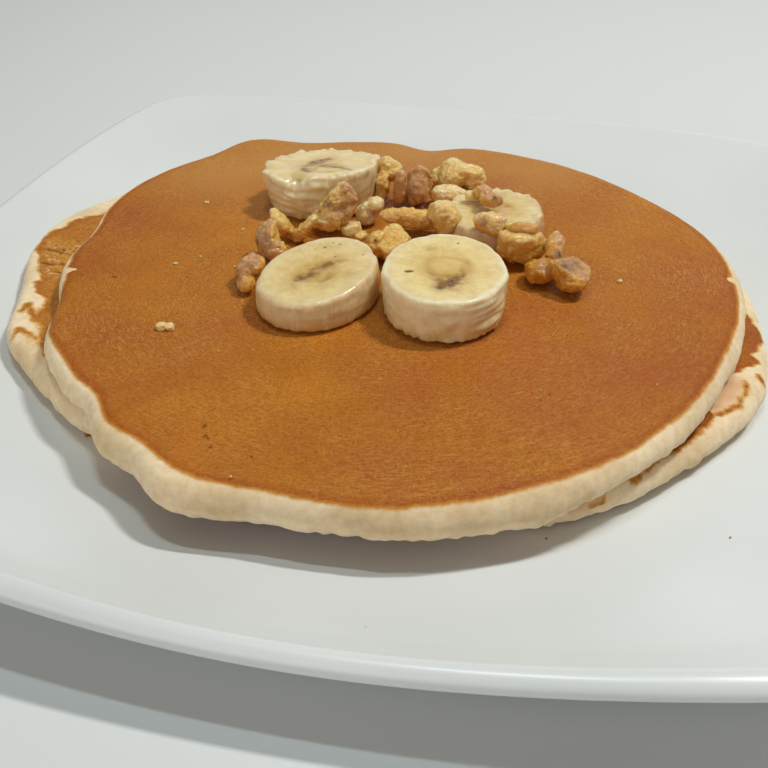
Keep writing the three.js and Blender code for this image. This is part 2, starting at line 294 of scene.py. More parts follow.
room = {"air": "#fff1e0", "airStrength": 0.15, "floor": "#dcdedd", "floorSide": 3.0, "floorDrop": 0.0002}
world = bpy.data.worlds.new("room")
bpy.context.scene.world = world
world.use_nodes = True
air = world.node_tree.nodes["Background"].inputs
air["Color"].default_value = linear(room["air"])
air["Strength"].default_value = room["airStrength"]

half = room["floorSide"] / 2
floorMesh = bpy.data.meshes.new("floor")
floorMesh.from_pydata([(-half, -half, 0), (half, -half, 0), (half, half, 0), (-half, half, 0)], [], [(0, 1, 2, 3)])
floor = addObject("floor", floorMesh)
floor.location.z = -room["floorDrop"]
laminate, tree = blankMaterial("matt laminate table top")
shadeWith(tree, {"Base Color": room["floor"], "Roughness": 0.55})
floorMesh.materials.append(laminate)
print("camera, light and floor")


plateShape = {
    "width": 255.0, "bow": 392.0, "corner": 22.0,
    "well": 7.0, "wellRadius": 70.0, "rim": 19.3, "inset": 3.0, "power": 2.6, "lift": 3.1,
    "wall": 4.8, "footInner": 70.0, "footOuter": 75.0, "footDepth": 2.0,
    "steps": 384, "crowd": 0.15,
}
plateHalf = plateShape["width"] / 2


def rimReach(angle):
    # distance to the rim's outline: a bowed side, then a round corner
    bow, corner = plateShape["bow"], plateShape["corner"]
    k = bow - plateHalf
    c = (math.sqrt(2 * (bow - corner) ** 2 - k * k) - k) / 2
    turn = math.atan2(c, c + k)
    join = math.atan2(bow * math.sin(turn), bow * math.cos(turn) - k)
    eighth = math.pi / 4
    a = eighth - np.abs(eighth - np.mod(angle, 2 * eighth))
    side = np.sqrt(bow ** 2 - (k * np.sin(a)) ** 2) - k * np.cos(a)
    m = c * (np.cos(a) + np.sin(a))
    return np.where(a <= join, side, m + np.sqrt(np.maximum(m * m - 2 * c * c + corner ** 2, 0)))


def squareness(u, angle):
    return 1 + (rimReach(angle) / plateHalf - 1) * (u / plateHalf) ** 2


def cornerRise(u, angle):
    outward = np.clip((u - plateShape["wellRadius"]) / (plateHalf - plateShape["wellRadius"]), 0, 1)
    return plateShape["lift"] * (np.sin(2 * angle) ** 2 - 0.5) * outward ** 2


def coupeHeight(u):
    s = plateShape
    outward = np.maximum(0, (u - s["wellRadius"]) / (plateHalf - s["inset"] - s["wellRadius"]))
    return s["well"] + (s["rim"] - s["well"]) * outward ** s["power"]


def plateTop(x, y):
    angle = np.arctan2(y, x)
    r = np.hypot(x, y)
    u = r
    for _ in range(8):
        u = r / squareness(u, angle)
    return coupeHeight(u) + cornerRise(u, angle)


def makePlate():
    s = plateShape
    crest, rim, wall, footInner, footOuter = plateHalf - s["inset"], s["rim"], s["wall"], s["footInner"], s["footOuter"]
    under = [(u, coupeHeight(u) - wall) for u in np.linspace(footOuter + 6, crest - 4, 14)]
    edge = curveThrough([
        (crest - 4, coupeHeight(crest - 4) - wall), (crest - 1.5, coupeHeight(crest - 1.5) - wall + 0.1),
        (plateHalf - 0.9, rim - 3.9), (plateHalf, rim - 2.3), (plateHalf - 0.9, rim - 0.7),
        (crest, rim), (crest - 2.2, coupeHeight(crest - 2.2) + 0.12), (crest - 6, coupeHeight(crest - 6)),
    ], 26)
    bowl = [(u, coupeHeight(u)) for u in np.linspace(crest - 8, s["wellRadius"], 26)]
    foot = curveThrough([
        (footInner - 2.4, s["footDepth"]), (footInner - 1.2, 1.2), (footInner - 0.2, 0.15), (footInner + 1.4, 0.0),
        (footOuter - 1.6, 0.0), (footOuter - 0.2, 0.3), (footOuter + 1.6, 1.5),
        (footOuter + 3.5, coupeHeight(footOuter + 3.5) - wall),
    ], 18)
    inner = [(u, s["footDepth"]) for u in np.linspace(0, footInner - 5, 10)]
    well = [(u, s["well"]) for u in np.linspace(s["wellRadius"] - 4, 0, 14)]
    profile = np.array(inner + list(foot) + under + list(edge) + bowl + well)
    even = np.linspace(-math.pi, math.pi, s["steps"], endpoint=False)
    angle = even + s["crowd"] * np.sin(4 * even)
    u = profile[:, 0][:, None]
    r = u * squareness(u, angle[None])
    z = profile[:, 1][:, None] + cornerRise(u, angle[None])
    return gridMesh("dinnerPlate", np.stack([r * np.cos(angle), r * np.sin(angle), np.maximum(z, 0)], -1))


# Glazed stoneware, dipped and fired: a cool white with a soft gloss, a little uneven, with a few
# pinholes and a foot wiped free of glaze.
glaze, tree = blankMaterial("glazed white stoneware")
place = objectPlace(tree)
tint = ramp(grain(place, 14), (0.35, "#dcdfde"), (0.65, "#e2e5e4"))
hole = ramp(cells(place, 90), (0.02, "#9a9c98"), (0.035, "#ffffff"))
rare = ramp(grain(place, 30), (0.6, 0), (0.66, 1))
speckled = blend(rare, tint, hole, "MULTIPLY")
height = addNode(tree, "ShaderNodeSeparateXYZ", {"Vector": place}).outputs["Z"]
lowDown = remap(height, 0.0003, 0.0009, 1, 0)
shadeWith(tree, {
    "Base Color": blend(lowDown, speckled, "#cfc4b2"), "Roughness": remap(lowDown, 0, 1, 0.28, 0.7),
    "IOR": 1.5, "Specular IOR Level": 0.5, "Normal": bumps(grain(place, 55, 3), 0.12, 0.0006),
})
finishPiece(makePlate(), glaze, "plate")
print("plate")


cakes = {
    "thick": 8.0, "edgeThin": 0.7, "gap": 0.4, "steps": 900,
    # where the upper cake starts to hang down past the lower one's rim, and where it curls up
    "sagFrom": 1.0, "sagTo": 1.06, "waves": [(131, 16, 1.6), (58, 12, 0.5)],
    # relief layers: swells, scallops and rags of the side, of which the last two make the lip ragged
    "side": [(15, 0.5, 0), (5.0, 0.34, 1), (1.9, 0.14, 2)], "lipShare": (0.6, 0.8),
    "lumps": [(3.2, 0.2, 5), (1.3, 0.1, 8)], "rise": [(19, 0.16, 3), (6, 0.07, 4)],
    # depth of a crack, how far its line strays, and how far in the browned skin starts underneath
    "crackDepth": 0.4, "stray": (1.1, 0.5), "underInset": 4.6, "skinLimits": (-3.2, 6),
    "lower": {
        "name": "lowerPancake", "seed": 11, "lip": 1.0, "sag": 0,
        "centre": (-3.7, 8.1), "radius": 96.5,
        "bulges": [(21, 11, -3.5), (95, 46, -12.6), (181, 17, 6.1), (210, 8, 3.8), (268, 24, -14.7), (301, 25, 4.5),
            (339, 13, 4.2)],
        # where the browned face starts, in mm in from the rim, by angle
        "skinInset": [(3, 7), (20, 9), (80, 8), (150, 10), (166, 9.1), (169, 8.1), (172, 7.8), (174, 5.6), (177, 4.4),
            (179, 4.8), (181, 2.5), (184, 2), (187, 1.8), (189, 3.6), (193, 4.5), (196, 5.5), (197.3, 4), (200, 4.6),
            (201.3, 6.8), (202.2, 8), (210, 8.4), (212, 8), (214, 6.4), (216, 5.4), (220, 4.6), (222, 7), (226, 12),
            (245, 12), (300, 6), (318, 2.8), (321, 2.5), (327, 2.8), (330, 3.3), (332, 3.9), (334, 2.8), (335.5, 7),
            (341, 8), (343, 6), (344, 5.6), (345, 3.6), (346.6, 1.9), (347.8, 4.1), (350, 2.6), (354, 0.9), (358, 3)],
        # how far that line wanders in long and short swells
        "wander": [(9, 0.3, 6), (3, 0.5, 7)],
        # browned streaks beyond that line, from one end to the other, and half their width
        "streaks": [(-90.7, -33.5, -90.2, -30.9, 1.2), (-90.2, -30.9, -85.6, -35.8, 1),
            (-85.6, -35.8, -82.7, -38.3, 1.2), (-87.3, -43.8, -87, -41.7, 0.8), (-87, -41.7, -83.9, -42.4, 0.7),
            (-83.9, -42.4, -81.3, -43.8, 0.8), (90.3, -20.4, 91.2, -21.2, 0.9), (87.2, -24, 87, -28.5, 0.6),
            (87, -28.5, 85.6, -32, 0.5), (85.4, -33.4, 80.7, -38, 0.6), (69.3, -55.3, 63.3, -63.7, 0.2),
            (58, -69.5, 55.4, -71.7, 0.45)],
        # soft round patches: skin torn off, broken skin, purplish duller skin that is partly a painted sheen near the
        # rim, and paler golden skin that is partly a painted sheen on the far side
        "torn": [(84.6, -25.5, 2.8, 1), (83, -30.5, 3, 1), (80.6, -35, 2.4, 0.9)],
        "pits": [(-97.5, -3, 4.5, 0.9), (-92, -3, 4.5, 1), (-95, -10, 4.5, 1), (-91, -12, 4, 0.9),
            (-91, 3, 3.5, 0.6)],
        "dusk": [(90, -2, 13, 1), (86, -24, 12, 1), (76, -44, 14, 0.9), (58, -60, 14, 0.8)],
        "tan": [],
        # cracks in the skin, from one end to the other, with the width of each
        "cracks": [(-101.6, -3.6, -96.6, -2, 0.5), (-95.4, -3.2, -91.6, -0.6, 0.45), (-97.8, -9.8, -94, -9.4, 0.5),
            (-93.6, -8.6, -89.6, -8.4, 0.5), (-96, -6.2, -94, -5.6, 0.35), (-92.6, -5.4, -90.6, -5, 0.35),
            (-92.4, -12.8, -90.4, -12.4, 0.4)],
    },
    "top": {
        "name": "topPancake", "seed": 3, "lip": 0.9, "sag": 2.8,
        "centre": (-3.0, -2.9), "radius": 87.6,
        "bulges": [(17, 27, 4.2), (93, 6, -6), (130, 7, 6.9), (150, 20, 5.1), (178, 7, -2.2), (197, 27, -2.8),
            (203, 7, -2.2), (216, 5, 0.8), (234, 4, -1.5), (242, 5, 1.6), (257, 8, 5.8), (294, 37, 6.8)],
        "skinInset": [(5, 2.6), (10, 3), (16, 2.5), (25, 2.1), (36, 1.7), (50, 1.1), (90, 0.5), (130, 0.7),
            (142, 1.6), (152, 2.2), (165, 2.3), (178, 2.2), (186, 2), (191, 2.8), (196, 2.6), (201, 1), (207, 0.5),
            (213, 1.6), (220, 3), (240, 3.2), (256, 4.3), (267, 2.6), (280, 2), (299, 3.2), (318, 2.8), (332, 2.4),
            (345, 2.6), (355, 2.3)],
        "wander": [(9, 0.2, 6), (3, 0.15, 7)],
        "streaks": [],
        "torn": [(-81.8, -22.3, 0.8, 0.8), (-80.4, -21.9, 0.6, 0.6), (83.8, 11.2, 0.9, 0.7)],
        "pits": [],
        "dusk": [(72, -34, 15, 1), (-80, -19, 12, 1), (-34, -84, 14, 0.8), (79, -8, 14, 0.6), (-78, 10, 14, 0.9),
            (-60, -48, 12, 0.6), (-10, -80, 12, 0.5)],
        "tan": [(-46, 60, 22, 0.45), (-10, 76, 20, 0.5), (28, 70, 18, 0.4), (-68, 40, 16, 0.3)],
        "cracks": [],
    },
}


def cakeReach(cake, angle):
    return cake["radius"] + sum(out * near(angle, at, wide) for at, wide, out in cake["bulges"])


def cakeShare(cake, x, y):
    dx, dy = x - cake["centre"][0], y - cake["centre"][1]
    angle = np.degrees(np.arctan2(dy, dx))
    return angle, np.hypot(dx, dy) / cakeReach(cake, angle)


def cakeThickness(share):
    return cakes["thick"] - cakes["edgeThin"] * np.minimum(share, 1) ** 3


def lowerBase(x, y):
    return plateTop(x, y) + cakes["gap"]


def lowerTop(x, y):
    return lowerBase(x, y) + cakeThickness(cakeShare(cakes["lower"], x, y)[1])


def topBase(x, y):
    angle, share = cakeShare(cakes["top"], x, y)
    curl = sum(up * near(angle, at, wide) for at, wide, up in cakes["waves"]) * np.minimum(share, 1.02) ** 12
    return lowerTop(x, y) + cakes["gap"] + curl


def topSurface(x, y):
    return topBase(x, y) + cakeThickness(cakeShare(cakes["top"], x, y)[1])


def cracks(x, y, list_, seed):
    # thin jagged lines: 1 in the middle of a line, falling to 0 beside it
    size, height = cakes["stray"]
    level = np.stack([x, y, 0 * x], -1)
    out = np.zeros(x.shape)
    for x0, y0, x1, y1, wide in list_:
        off, t = fromLine(x, y, x0, y0, x1, y1)
        close = off < 4
        off[close] += height * noiseAt(level[close], size, seed)
        out = np.maximum(out, np.exp(-(off / (wide * (0.5 + 0.5 * np.sin(np.pi * t)))) ** 2))
    return out


def throughAngles(degrees, stops):
    # a smooth closed curve of value by angle through a few stops
    at, value = np.array(stops, dtype=float).T
    at = np.concatenate([at - 360, at, at + 360])
    value = np.tile(value, 3)
    turn = np.mod(degrees, 360)
    k = np.searchsorted(at, turn) - 1
    share = smooth(turn, at[k], at[k + 1])
    return value[k] * (1 - share) + value[k + 1] * share


def cakeProfile(r):
    # distance in from the widest line and share of the thickness
    under = [(share * r - r, 0.0) for share in (0, 0.2, 0.4, 0.55, 0.66, 0.74, 0.8, 0.85, 0.89, 0.92)]
    edge = curveThrough([(-6.2, 0.0), (-4.2, 0.02), (-1.6, 0.13), (-0.25, 0.34), (-0.1, 0.5), (-0.7, 0.72),
                         (-2.1, 0.92), (-4.4, 1.0), (-7.0, 1.0)], 50)
    inwards = (0.9, 0.87, 0.83, 0.78, 0.72, 0.65, 0.57, 0.48, 0.38, 0.28, 0.18, 0.09, 0)
    over = [(share * r - r, 1.0) for share in inwards]
    return np.array(under + [tuple(p) for p in edge] + over)


def makeCake(cake, base):
    r, seed = cake["radius"], cake["seed"]
    profile = cakeProfile(r)
    degrees = np.linspace(-180, 180, cakes["steps"], endpoint=False)
    stretch = cakeReach(cake, degrees) / r
    inset, high = profile[:, 0][:, None], profile[:, 1][:, None]
    c, s = np.cos(np.radians(degrees)), np.sin(np.radians(degrees))
    # the batter's edge: soft swells all over the side, and a ragged lower lip
    ring = np.stack([c * r, s * r, 0 * degrees], -1)
    layers = [noiseAt(ring, size, seed + own) for size, _, own in cakes["side"]]
    onSide = np.exp(-((high - 0.45) / 0.4) ** 2) * smooth(inset, -9, -1.5)
    lowLip = np.exp(-((high - 0.15) / 0.15) ** 2) * smooth(inset, -8, -2.5)
    swelling = sum(height * layer for (_, height, _), layer in zip(cakes["side"], layers))
    ragged = cake["lip"] * sum(part * layer for part, layer in zip(cakes["lipShare"], layers[1:]))
    radius = (r + inset) * stretch + (onSide * swelling + lowLip * ragged)
    x = cake["centre"][0] + radius * c
    y = cake["centre"][1] + radius * s
    share = (r + inset) / r + 0 * c
    sag = cake["sag"] * smooth(cakeShare(cakes["lower"], x, y)[1], cakes["sagFrom"], cakes["sagTo"])
    z = base(x, y) + high * cakeThickness(share) - sag * (1 - 0.8 * high)
    points = np.stack([x, y, z], -1)
    # low rises and hollows on the face, and small lumps on the side
    lumps = relief(points, cakes["lumps"], seed) * onSide
    points[..., 0] += lumps * c
    points[..., 1] += lumps * s
    points[..., 2] += relief(points, cakes["rise"], seed) * smooth(high, 0.5, 1.0)
    crack = cracks(x, y, cake["cracks"], seed + 9) * smooth(high, 0.9, 1.0)
    points[..., 2] -= cakes["crackDepth"] * crack
    obj = gridMesh(cake["name"], points)
    # distance over the skin from the widest line: positive over the top, negative underneath
    across = np.hypot(np.diff(profile[:, 0]), np.diff(profile[:, 1] * cakes["thick"]))
    run = np.concatenate([[0], np.cumsum(across)])
    widest = int(np.argmax(profile[:, 0]))
    run = run - run[widest]
    start = np.interp(throughAngles(degrees, cake["skinInset"]), -profile[widest:, 0], run[widest:])
    run = run[:, None]
    brown = np.maximum(run - start, -run - cakes["underInset"])
    onTop = smooth(run, 0, 1.6)
    torn = np.clip(spots(x, y, cake["torn"]), 0, 1) * onTop
    brown = np.clip(brown, *cakes["skinLimits"]) - 7 * torn
    for x0, y0, x1, y1, half in cake["streaks"]:
        brown = np.where(onTop > 0, np.maximum(brown, half - fromLine(x, y, x0, y0, x1, y1)[0]), brown)
    patches = {key: np.clip(spots(x, y, cake[key]), 0, most) for key, most in (("pits", 1), ("dusk", 1), ("tan", 0.6))}
    paintGrid(obj, brown=brown + relief(points, cake["wander"], seed), crack=crack, torn=torn, **patches)
    return obj


def crustMaterial(name, middle, look):
    # Griddled batter: a thin browned skin over a pale open crumb. Fat and steam left the skin with
    # fine lighter threads along and across the spread of the batter. Skin and crumb are quite dull.
    material, tree = blankMaterial(name)
    place = objectPlace(tree)
    brown, pits, dusk, tan, crack, bared = painted(tree, "brown", "pits", "dusk", "tan", "crack", "torn")
    centred = vectors("SUBTRACT", place, (middle[0] * mm, middle[1] * mm, 0))
    level = vectors("MULTIPLY", centred, (1, 1, 0))
    far = vectors("LENGTH", level)
    way = vectors("NORMALIZE", level)
    threads = []
    for around, outward, low, high in look["weave"]:
        # around and outward are repeats per radian and per metre; low and high set how much shows
        turned = addNode(tree, "ShaderNodeVectorMath", {0: way, "Scale": around}, operation="SCALE")
        lift = addNode(tree, "ShaderNodeCombineXYZ", {"Z": maths("MULTIPLY", far, outward)})
        spread = vectors("ADD", turned.outputs["Vector"], lift.outputs["Vector"])
        threads.append(ramp(grain(spread, 1, 2, 0.6, 0.3), (low, 0), (high, 1)))
    # the threads come and go over the face, in areas of about 15 mm
    comes = ramp(grain(place, 65, 3), (0.35, 0.3), (0.65, 1))
    net = maths("MULTIPLY", maths("MAXIMUM", *threads), comes)
    # 0.6 mm blisters
    blister = grain(place, 1500, 3, 0.65)
    # browning drifts over the face in swells of about 40 mm and 12 mm
    drift = maths("MULTIPLY_ADD", grain(place, 90, 4, 0.6), 0.45, grain(place, 24))
    skin = ramp(remap(drift, 0.52, 0.92), *look["skin"])
    blisterTint = ramp(blister, (0.3, look["blister"]), (0.62, "#ffffff"))
    blistered = blend(1, skin, blisterTint, "MULTIPLY")
    woven = blend(maths("MULTIPLY", net, look["threadShow"]), blistered, look["thread"])
    # partly painted sheen: the purplish tint near the rim and the paler golden tint on the far side stand for sheen as
    # well as for the batter's own colour
    aged = blend(tan, blend(dusk, woven, look["duskTint"], "MULTIPLY"), look["tan"])
    # light flakes, about 1 mm, where the skin broke up round the cracks
    flakes = ramp(grain(place, 620, 3, 0.6, 0.8), (0.54, 0), (0.64, 0.75))
    flaked = blend(maths("MULTIPLY", flakes, pits), aged, look["flake"])
    # 0.5 mm pinholes where steam came through, about 6 mm apart, and crowded pores near cracks
    pinholes = ramp(cells(place, 165), (0.03, 0.55), (0.065, 0))
    pores = ramp(cells(place, 420), (0.12, 1), (0.3, 0))
    openings = maths("MAXIMUM", pinholes, maths("MULTIPLY", pores, pits))
    # the few larger holes, each at its own place, with a rim that strays up to 0.8 mm
    uneven = addNode(tree, "ShaderNodeTexNoise", {"Vector": place, "Scale": 1400}).outputs["Color"]
    pushed = vectors("MULTIPLY_ADD", uneven, (0.0016, 0.0016, 0), (-0.0008, -0.0008, 0))
    flatPlace = vectors("MULTIPLY_ADD", place, (1, 1, 0), pushed)
    for holeX, holeY, holeR in look["holes"]:
        away = vectors("DISTANCE", flatPlace, (holeX * mm, holeY * mm, 0))
        inHole = remap(away, holeR * mm * 0.5, holeR * mm, 1, 0)
        openings = maths("MAXIMUM", openings, inHole)
    # painted shade: pinholes, holes and cracks are coloured dark brown for the shade inside them
    pored = blend(maths("MAXIMUM", openings, crack), flaked, look["hole"])
    # open crumb, in cells of 1 to 2 mm
    crumbNoise = grain(place, 520, 4, 0.6)
    crumbTint = ramp(grain(place, 70), (0.35, "#efe9df"), (0.6, "#ffffff"))
    crumb = blend(1, ramp(crumbNoise, *look["crumb"]), crumbTint, "MULTIPLY")
    bareCrumb = blend(bared, crumb, look["bared"])
    # where skin gives way to crumb: 'brown' is positive on skin, in mm from its edge
    stray = remap(grain(place, 380, 4, 0.65), 0.3, 0.7, -look["ragged"], look["ragged"])
    fade = remap(maths("ADD", brown, stray), -1, 3)
    # crumb, a golden line about 0.5 mm wide, a slightly scorched line, then plain skin
    toGold = ramp(fade, (0.1, 0), (0.27, 1))
    toSkin = ramp(fade, (0.22, 0), (0.42, 1))
    scorch = ramp(fade, (0.3, "#ffffff"), (0.45, look["scorch"]), (0.6, look["scorch"]), (0.9, "#ffffff"))
    scorched = blend(1, pored, scorch, "MULTIPLY")
    skinRelief = maths("SUBTRACT", maths("ADD", net, blister), openings)
    either = addNode(tree, "ShaderNodeMix", {"Factor": toSkin, "A": crumbNoise, "B": skinRelief}, data_type="FLOAT")
    shadeWith(tree, {
        "Base Color": blend(toSkin, blend(toGold, bareCrumb, look["gold"]), scorched),
        "Roughness": remap(toSkin, 0, 1, 0.9, 0.55), "IOR": 1.4, "Specular IOR Level": 0.25,
        "Subsurface Weight": 0.25, "Subsurface Radius": (1.0, 0.6, 0.3), "Subsurface Scale": 0.002,
        "Sheen Weight": 0.03, "Sheen Roughness": 0.4,
        "Normal": bumps(either.outputs["Result"], 0.55, 0.0003),
    })
    return material


batter = {
    "skin": [(0.0, "#c37c1c"), (0.5, "#b7701b"), (1.0, "#b26625")], "blister": "#dac4a8",
    "weave": [(32.0, 2200.0, 0.48, 0.7), (150.0, 680.0, 0.52, 0.74)], "thread": "#dc9c4c", "threadShow": 0.55,
    "crumb": [(0.3, "#e8cea5"), (0.55, "#f2dbb6"), (0.8, "#f8e6c6")], "bared": "#ecca88",
    "duskTint": "#f4e9f0", "tan": "#cd9a52", "flake": "#e6bb84", "hole": "#7d4618",
    "gold": "#c98d3e", "scorch": "#f4e6d8", "ragged": 0.25,
    # place and radius of each hole
    "holes": [(-69.2, -23.5, 0.5), (-68.4, -23.4, 0.55), (-24.3, -76.3, 0.6), (-23, -79.2, 0.7), (-22.2, -79.8, 0.5),
        (-20.6, -82.4, 0.5), (-31.4, -79.8, 0.4), (-11.6, -83.5, 0.35), (-24, -70.5, 0.35), (-60, -8, 0.3),
        (-52, 3.5, 0.3), (-50.5, -20, 0.4), (-37, -60, 0.3), (44, -50, 0.35), (20, -66, 0.3)],
}
# the lower face was cooked less
paleBatter = dict(
    batter, skin=[(0.0, "#dba848"), (0.5, "#d09437"), (1.0, "#bf7e2e")], blister="#c9ac88", gold="#d6a45a",
    threadShow=0.25, ragged=0.6, holes=[], bared="#dab088", duskTint="#e2bfa0")
crust = crustMaterial("griddled pancake face", cakes["top"]["centre"], batter)
finishPiece(makeCake(cakes["top"], topBase), crust, "pancake_top")
underCrust = crustMaterial("griddled pancake underlayer", cakes["lower"]["centre"], paleBatter)
finishPiece(makeCake(cakes["lower"], lowerBase), underCrust, "pancake_lower")
print("pancakes")


# slope is the cut face's rise per mm along X and Y; oval, sides and flare are shares of the radius; torn, rags
# and ripe set how torn the rim, how ragged the foot and how dark the flesh is; lens is the core's place and
# radius; marks are brown lines left by the seeds, end to end, with width and depth of colour; dots are bruises
# and creases folds in the side, by place and radius; nicks are an angle, its width and how far in and down
slices = {
    "banana_front_right": {
        "at": (15.9, -22.3), "radius": 14.9, "thick": 12.2, "oval": 0.03, "sides": 0.015, "turn": 100, "flare": 0.03,
        "torn": 0.18, "slope": (-0.02, 0.06), "seed": 3, "rags": 1.3, "ripe": 0.45, "lens": (0.4, 0.2, 5.2),
        "marks": [(0.6, -8.4, 2.6, -5.6, 1.3, 1), (2, -5.6, 4.6, -2.4, 0.9, 0.75), (3.4, -3, 4.6, 3.8, 0.9, 0.4),
            (1.4, -6.2, -2.6, -3.4, 0.9, 0.5), (-3.4, -2.4, -4.8, 4.6, 1, 0.22), (-5.4, 6.6, -3.8, 8, 0.7, 0.3)],
        "dots": [(-8.2, -4, 0.8, 0.9), (-7.2, -3.6, 0.7, 0.7), (1.1, 11.1, 0.4, 1), (12.2, -2, 0.4, 0.4)],
        "creases": [(8.5, -9, 2.2), (11.5, -6, 3.4), (4, -13, 1.6)],
        "nicks": [(2, 6, -0.3, -0.1), (-14, 5, 0.4, 0.2), (200, 5, -0.5, 0), (214, 4, 0.5, 0.2)],
    },
    "banana_front_left": {
        "at": (-14.5, -24.6), "radius": 14.6, "thick": 9, "oval": 0.09, "sides": 0.01, "turn": 60, "flare": -0.04,
        "torn": 0.12, "slope": (0.07, 0.1), "seed": 4, "rags": 0.9, "ripe": 0.75, "lens": (0, -1.4, 4.6),
        "marks": [(-4, -4.4, -1.6, -2.2, 1.1, 0.9), (-1.6, -2.2, 0.4, -0.6, 1, 0.8), (-0.8, 0.8, 2.4, 3.2, 1.1, 0.9),
            (2.2, 3.2, 5.6, 4.6, 0.8, 0.4), (2.6, -5.2, 3.6, -1.6, 0.8, 0.6), (-4.4, -6.8, -3.4, -8, 0.6, 0.4)],
        "dots": [(-0.8, 9.6, 0.5, 0.9), (2.6, 11.2, 0.4, 1), (2.8, 5.9, 0.5, 0.8), (9.4, 7.3, 0.4, 0.9),
            (-3, 8.6, 0.4, 0.6), (0.8, 11.6, 0.5, 0.6), (-2.4, 10.8, 0.5, 0.5), (-1, -9.4, 0.3, 0.6),
            (8.5, -1.5, 5, 0.32)],
        "creases": [],
        "nicks": [(40, 7, 0.5, 0.3)],
    },
    # here the rim sank and folded over at the front left, and is jagged at both ends
    "banana_back_left": {
        "at": (-29.1, 29.1), "radius": 14.6, "thick": 12.2, "oval": 0.05, "sides": 0.015, "turn": 10, "flare": 0.12,
        "torn": 1.3, "slope": (0.1, -0.1), "seed": 8, "rags": 0.9, "ripe": 0.6, "lens": (3.6, -4.6, 4.4),
        "marks": [(-4.2, -2.8, -1.2, -0.2, 0.8, 0.7), (-2.6, 0.8, 1.2, 4.2, 1.3, 1), (1, -1.8, 6.8, -3.2, 0.7, 0.95),
            (6.6, -3.2, 10.8, -6.6, 0.4, 0.7), (-3.6, -4.6, -1, -7.6, 0.9, 0.9)],
        "dots": [(-9, 3, 0.3, 0.4), (-3.3, -10.5, 4.5, 0.34)],
        "creases": [(-5, -11.5, 3), (2, -13, 2.4), (-10, -9, 2)],
        "nicks": [(253, 17, 1.9, 2.6), (208, 5, -0.9, -0.2), (193, 5, 0.9, 0.5), (176, 4, -0.5, -0.2),
            (21, 5, -0.7, -0.3), (8, 4, 0.9, 0.5), (-6, 4, -0.4, 0), (282, 5, -0.4, -0.3), (300, 6, 0.7, 0.6)],
    },
    "banana_back_right": {
        "at": (21.5, 21.5), "radius": 13.2, "thick": 7, "oval": 0.02, "sides": 0.015, "turn": 30, "flare": -0.05,
        "torn": 0.6, "slope": (0, 0.06), "seed": 9, "rags": 0.5, "ripe": 0.85, "lens": (0, 0, 4.6),
        "marks": [(-2, -1, -3, 2.4, 0.8, 0.7), (0.6, 0.4, 3, 2.6, 0.8, 0.6), (-0.2, -2, 0.8, -5, 0.8, 0.6)],
        "dots": [(6, -8, 0.4, 0.8), (8.6, -7.4, 0.5, 0.7)],
        "creases": [],
        "nicks": [(70, 5, 0.6, 0.3), (95, 4, -0.4, -0.2), (20, 6, 0.5, 0.3)],
    },
}
# relief layers of the ridges up and down the side, then size and height of the other unevennesses
cut = {
    "steps": 330, "ridges": [(2.2, 0.14, 0), (6, 0.24, 1)], "squeeze": (2.4, 0.16), "fold": (1.1, 0.3),
    "squash": np.array([0.35, 0.35, 1.6]), "fibre": (9, 0.06), "ringDip": (0.9, 0.16), "face": (2.2, 0.09),
    "markWidth": 1.4, "halo": 2.6, "markDepth": 0.35, "dotDepth": 0.1, "sink": 0.25,
    "blotch": [(1.6, 0.4, 7), (0.7, 0.25, 17)],
}


